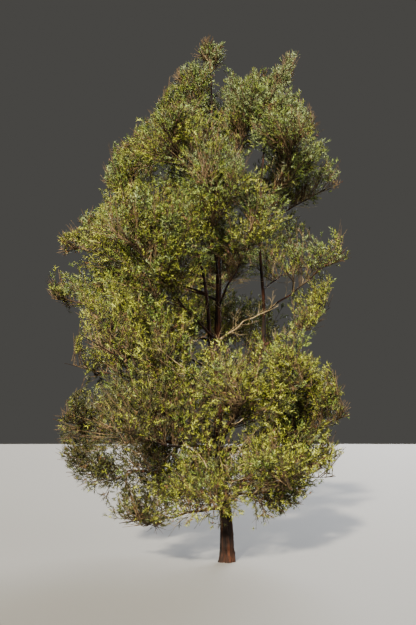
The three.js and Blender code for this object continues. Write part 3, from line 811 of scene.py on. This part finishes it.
def trunk_shape(sides=72, steps=260):
    """The trunk's foot with its flare and buttresses, up to its tip, with bark relief."""
    height = TRUNK_TOP * (np.arange(steps + 1) / steps) ** 1.35
    centre = TRUNK_LINE.at(TRUNK_LINE.share_at(height))
    angle = 2 * math.pi * np.arange(sides) / sides
    fade = np.exp(-height / (2 * FLARE_HEIGHT))[:, None]
    lobe = 1 + BUTTRESS_DEPTH * fade * np.cos(BUTTRESSES * angle + BUTTRESS_TURN)
    radius = trunk_radius(height)[:, None] * lobe
    ring = np.stack([np.cos(angle), np.sin(angle), np.zeros(sides)], axis=1)
    points = centre[:, None] + radius[:, :, None] * ring
    relief = bark_relief(points.reshape(-1, 3), 1.0).reshape(radius.shape)
    points = points + (relief * TRUNK_RELIEF * radius)[:, :, None] * ring
    points[0, :, 2] = 0
    index = np.arange((steps + 1) * sides).reshape(steps + 1, sides)
    a, b = index[:-1], index[1:]
    quads = np.stack([a, np.roll(a, -1, 1), np.roll(b, -1, 1), b], axis=-1)
    return points.reshape(-1, 3), quads.reshape(-1, 4)


def rough_tube(centres, radii, sides, strength):
    """A tube whose surface has the bark's relief."""
    points, quads = tubes(centres[None], radii[None], sides)
    middle = np.repeat(centres, sides, axis=0)
    outward = unit(points - middle)
    depth = bark_relief(points, strength) * np.repeat(radii, sides)
    return points + outward * depth[:, None], quads


def leader_shape(root, tip, line):
    """A leader, a little wider where it leaves the trunk."""
    t = np.linspace(0, 1, 150)
    collar = 1 + 0.35 * np.exp(-t / 0.02)
    return rough_tube(line.at(t), mix(root, tip, t) * collar, 24, LEADER_RELIEF)


def limb_shape(limb):
    """A limb from its root to its tip, a little wider where it leaves its stem."""
    t = np.linspace(0, 1, 46)
    collar = 1 + 0.4 * np.exp(-t / 0.05)
    return rough_tube(limb.at(t), limb.radius(t) * collar, 10, BOUGH_RELIEF)


def bare_twigs(origin, direction, length, radius, rng, depth):
    """Bare twigs that waver and branch, as tubes."""
    t = np.linspace(0, 1, 5)
    bend = rng.normal(0, 0.08, (len(origin), 3)) * length[:, None]
    centres = (
        origin[:, None]
        + direction[:, None] * (length[:, None] * t)[:, :, None]
        + bend[:, None] * np.sin(math.pi * t)[:, None]
        + UP * (0.1 * length[:, None] * t**2)[:, :, None]
    )
    parts = [tubes(centres, radius[:, None] * mix(1, 0.35, t), 3)]
    if depth:
        picks = rng.integers(1, 4, (len(origin), 3)).ravel()
        rows = np.repeat(np.arange(len(origin)), 3)
        start = centres[rows, picks]
        along = unit(centres[rows, picks + 1] - start)
        way = sprout(along, rng.uniform(0, 2 * math.pi, len(rows)), 0.8, 0.1)
        share = rng.uniform(0.35, 0.6, len(rows))
        parts += bare_twigs(start, way, length[rows] * share, radius[rows] * 0.5, rng, depth - 1)
    return parts


def bare_twigs_on(line, count, rng, between, slant, lengths, radius, depth):
    """Bare twigs all round a line, between two shares of it."""
    t = rng.uniform(*between, count)
    way = sprout(line.tangent(t), rng.uniform(0, 6.28, count), slant, 0.1)
    length = rng.uniform(*lengths, count)
    return bare_twigs(line.at(t), way, length, np.full(count, radius), rng, depth)


# The crown

rng = np.random.default_rng(SEED)
twig_parts, shoot_parts, spray_rows = [], [], []
for limb in limbs:
    (origin, direction, length), (start, way, long, across) = plumes_of(limb, rng)
    t = np.linspace(0, 1, 4)
    centres = np.stack([shoot_point(origin, direction, length, s) for s in t], axis=1)
    radii = np.tile(mix(*TWIG_RADII, t), (len(origin), 1))
    twig_parts.append(tubes(centres, radii, 4))
    shoots = shoots_of((start, way, long, across), rng)
    within = in_tufts(shoots[0] + shoots[1] * shoots[2][:, None])
    shoot_origin, shoot_way, shoot_length, shoot_share = (column[within] for column in shoots)
    centres = np.stack([
        shoot_point(start, way, long, s) - UP * TURN_UP * (long * s**2)[:, None] * PLUME_SAG
        for s in (0, 0.5, PLUME_TO)
    ], axis=1)
    twig_parts.append(tubes(centres, np.tile(PLUME_RADII, (len(start), 1)), 3))
    shoot_parts.append(spikes(shoot_origin, shoot_way, shoot_length, SHOOT_RADIUS))
    spray_rows.append(sprays_of(shoot_origin, shoot_way, shoot_length, shoot_share, rng))

# Sprays are kept where the crown is fullest, so bare twigs and depth show between its tufts
point, way, outer = (np.concatenate(column) for column in zip(*spray_rows))
inside = np.flatnonzero(in_tufts(point + way * SPRAY_LENGTH))
fullness = tufts(point[inside], *CLUMPS) + rng.normal(0, CLUMP_CHANCE, len(inside))
kept = inside[np.argsort(-fullness)[:SPRAYS]]
point, way, outer = point[kept], way[kept], outer[kept]


tints = deal_tints(point, outer, rng)
shapes = [spray_shape(rng) for _ in range(SPRAY_SHAPES)]
across = unit(np.cross(way, rng.normal(0, 1, way.shape)))
scale = SPRAY_LENGTH * rng.uniform(*SPRAY_SCALES, len(point))
which = rng.integers(0, len(shapes), len(point))

pieces = []
bands = {"low": point[:, 2] < BAND_HEIGHT, "high": point[:, 2] >= BAND_HEIGHT}
for tint, material in GREENS.items():
    for band, within in bands.items():
        parts = []
        for i, shape in enumerate(shapes):
            mine = within & (tints == tint) & (which == i)
            parts.append(copies(shape, point[mine], way[mine], across[mine], scale[mine]))
        points, faces = joined(parts)
        sprays = mesh_object(f"sprays_{tint}_{band}", points, faces, material)
        pieces.append(sprays)

for name, parts in (("twigs", twig_parts), ("shoots", shoot_parts)):
    points, faces = joined(parts)
    pieces.append(mesh_object(name, points, faces, TWIG_BARK))
masses = [f"foliage_{limb.name}" for limb in limbs]
for piece in pieces:
    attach(piece, "root")
    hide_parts(*masses)

cone_at = rng.choice(len(point), CONES, replace=False)
cone_point = point[cone_at] + way[cone_at] * 0.03 + rng.normal(0, 0.008, (CONES, 3))
cone_radius = rng.uniform(*CONE_RADII, CONES)
points, faces = copies(ball_shape(), cone_point, way[cone_at], across[cone_at], cone_radius)
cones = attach(mesh_object("cones", points, faces, cone_material(), smooth=True), "root")

# The wood

points, quads = trunk_shape()
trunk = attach(mesh_object("trunk_bark", points, quads, SHADE_DARKENED_BARK, smooth=True), "root")
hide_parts("trunk")

for name, (root, tip, line) in LEADERS.items():
    points, quads = leader_shape(root, tip, line)
    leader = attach(mesh_object(f"{name}_bark", points, quads, SHADE_DARKENED_BARK, smooth=True), "root")
    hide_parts(name)

points, quads = joined([limb_shape(limb) for limb in limbs])
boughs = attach(mesh_object("bough_bark", points, quads, SHADE_DARKENED_BARK, smooth=True), "root")
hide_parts(*[f"bough_{limb.name}" for limb in limbs if limb.bough])

# Dead wood: the dead bough with its twigs, and a stub low on the trunk

dead = Limb(DEAD_SEED, DEAD_BOUGH)
t = np.linspace(0, 1, 30)
dead_parts = [rough_tube(dead.at(t), mix(*DEAD_RADII, t), 10, DEAD_RELIEF)]
dead_parts += bare_twigs_on(
    dead, 9, rng, between=(0.25, 0.98), slant=0.8, lengths=(0.12, 0.3), radius=0.004, depth=2
)
t = np.linspace(0, 1, 12)[:, None]
stub_line = STUB[0] * (1 - t) ** 2 + 2 * STUB[1] * t * (1 - t) + STUB[2] * t**2
dead_parts.append(rough_tube(stub_line, mix(*STUB_RADII, t[:, 0]), 10, DEAD_RELIEF))
points, quads = joined(dead_parts)
dead_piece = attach(mesh_object("dead_bough_wood", points, quads, DEAD_WOOD, smooth=True), "root")
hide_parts("dead_bough")

# Bare twigs inside the crown: on the limbs, on the trunk and in tangles

bare = []
for limb in limbs:
    bare += bare_twigs_on(
        limb, BARE_ON_BOUGH if limb.bough else BARE_ON_LIGHT, rng,
        between=(0.08, 0.5), slant=0.9, lengths=(0.15, 0.4), radius=0.004, depth=1,
    )
bare += bare_twigs_on(
    TRUNK_LINE, BARE_ON_TRUNK, rng,
    between=(0.13, 0.9), slant=1.1, lengths=(0.2, 0.55), radius=0.005, depth=1,
)
for tangle in TANGLES:
    origin = np.array(tangle) + rng.normal(0, TANGLE_SPREAD, (BARE_IN_TANGLE, 3))
    way = unit(rng.normal(0, 1, origin.shape) + (0, -0.4, 0.3))
    length = rng.uniform(0.2, 0.4, BARE_IN_TANGLE)
    bare += bare_twigs(origin, way, length, np.full(BARE_IN_TANGLE, 0.0035), rng, 2)
points, quads = joined(bare)
bare_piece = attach(mesh_object("bare_twigs", points, quads, DEAD_WOOD), "root")


# Floor, light and camera

floor_material, _, shader = nodes_of("floor", roughness=0.9)
shader.inputs["Base Color"].default_value = srgb(100, 99, 96)
rim = 2 * math.pi * np.arange(96) / 96
disc = FLOOR_RADIUS * np.stack([np.cos(rim), np.sin(rim), 0 * rim], axis=1)
floor = mesh_object("floor", disc, [range(len(rim))], floor_material)

world = bpy.data.worlds.new("studio")
bpy.context.scene.world = world
world.use_nodes = True
background = world.node_tree.nodes["Background"]
background.inputs["Color"].default_value = (0.88, 0.86, 0.8, 1)
background.inputs["Strength"].default_value = 0.08


def far_light(name, side, angle, strength, colour):
    """A soft light so far off that it falls on the whole floor alike."""
    data = bpy.data.lights.new(name, "SUN")
    data.angle = angle
    data.energy = strength
    data.color = colour
    light = bpy.data.objects.new(name, data)
    light.location = Vector(side) * 2
    light.rotation_euler = (-Vector(side)).to_track_quat("-Z", "Y").to_euler()
    bpy.context.scene.collection.objects.link(light)


far_light("key", (-3.6, -12.8, 6.0), angle=0.06, strength=25.0, colour=(1.0, 0.92, 0.76))
far_light("fill", (9.0, -8.0, 3.0), angle=0.7, strength=2.9, colour=(0.95, 0.95, 0.9))
far_light("back", (5.0, 11.0, 5.0), angle=0.7, strength=9.5, colour=(0.92, 0.95, 1.0))

camera = bpy.data.objects.new("camera", bpy.data.cameras.new("camera"))
camera.data.lens = 35
camera.data.sensor_width = 36
camera.data.clip_end = 600
camera.location = EYE
camera.rotation_euler = (math.radians(90 + PITCH), 0, 0)
bpy.context.scene.collection.objects.link(camera)
bpy.context.scene.camera = camera
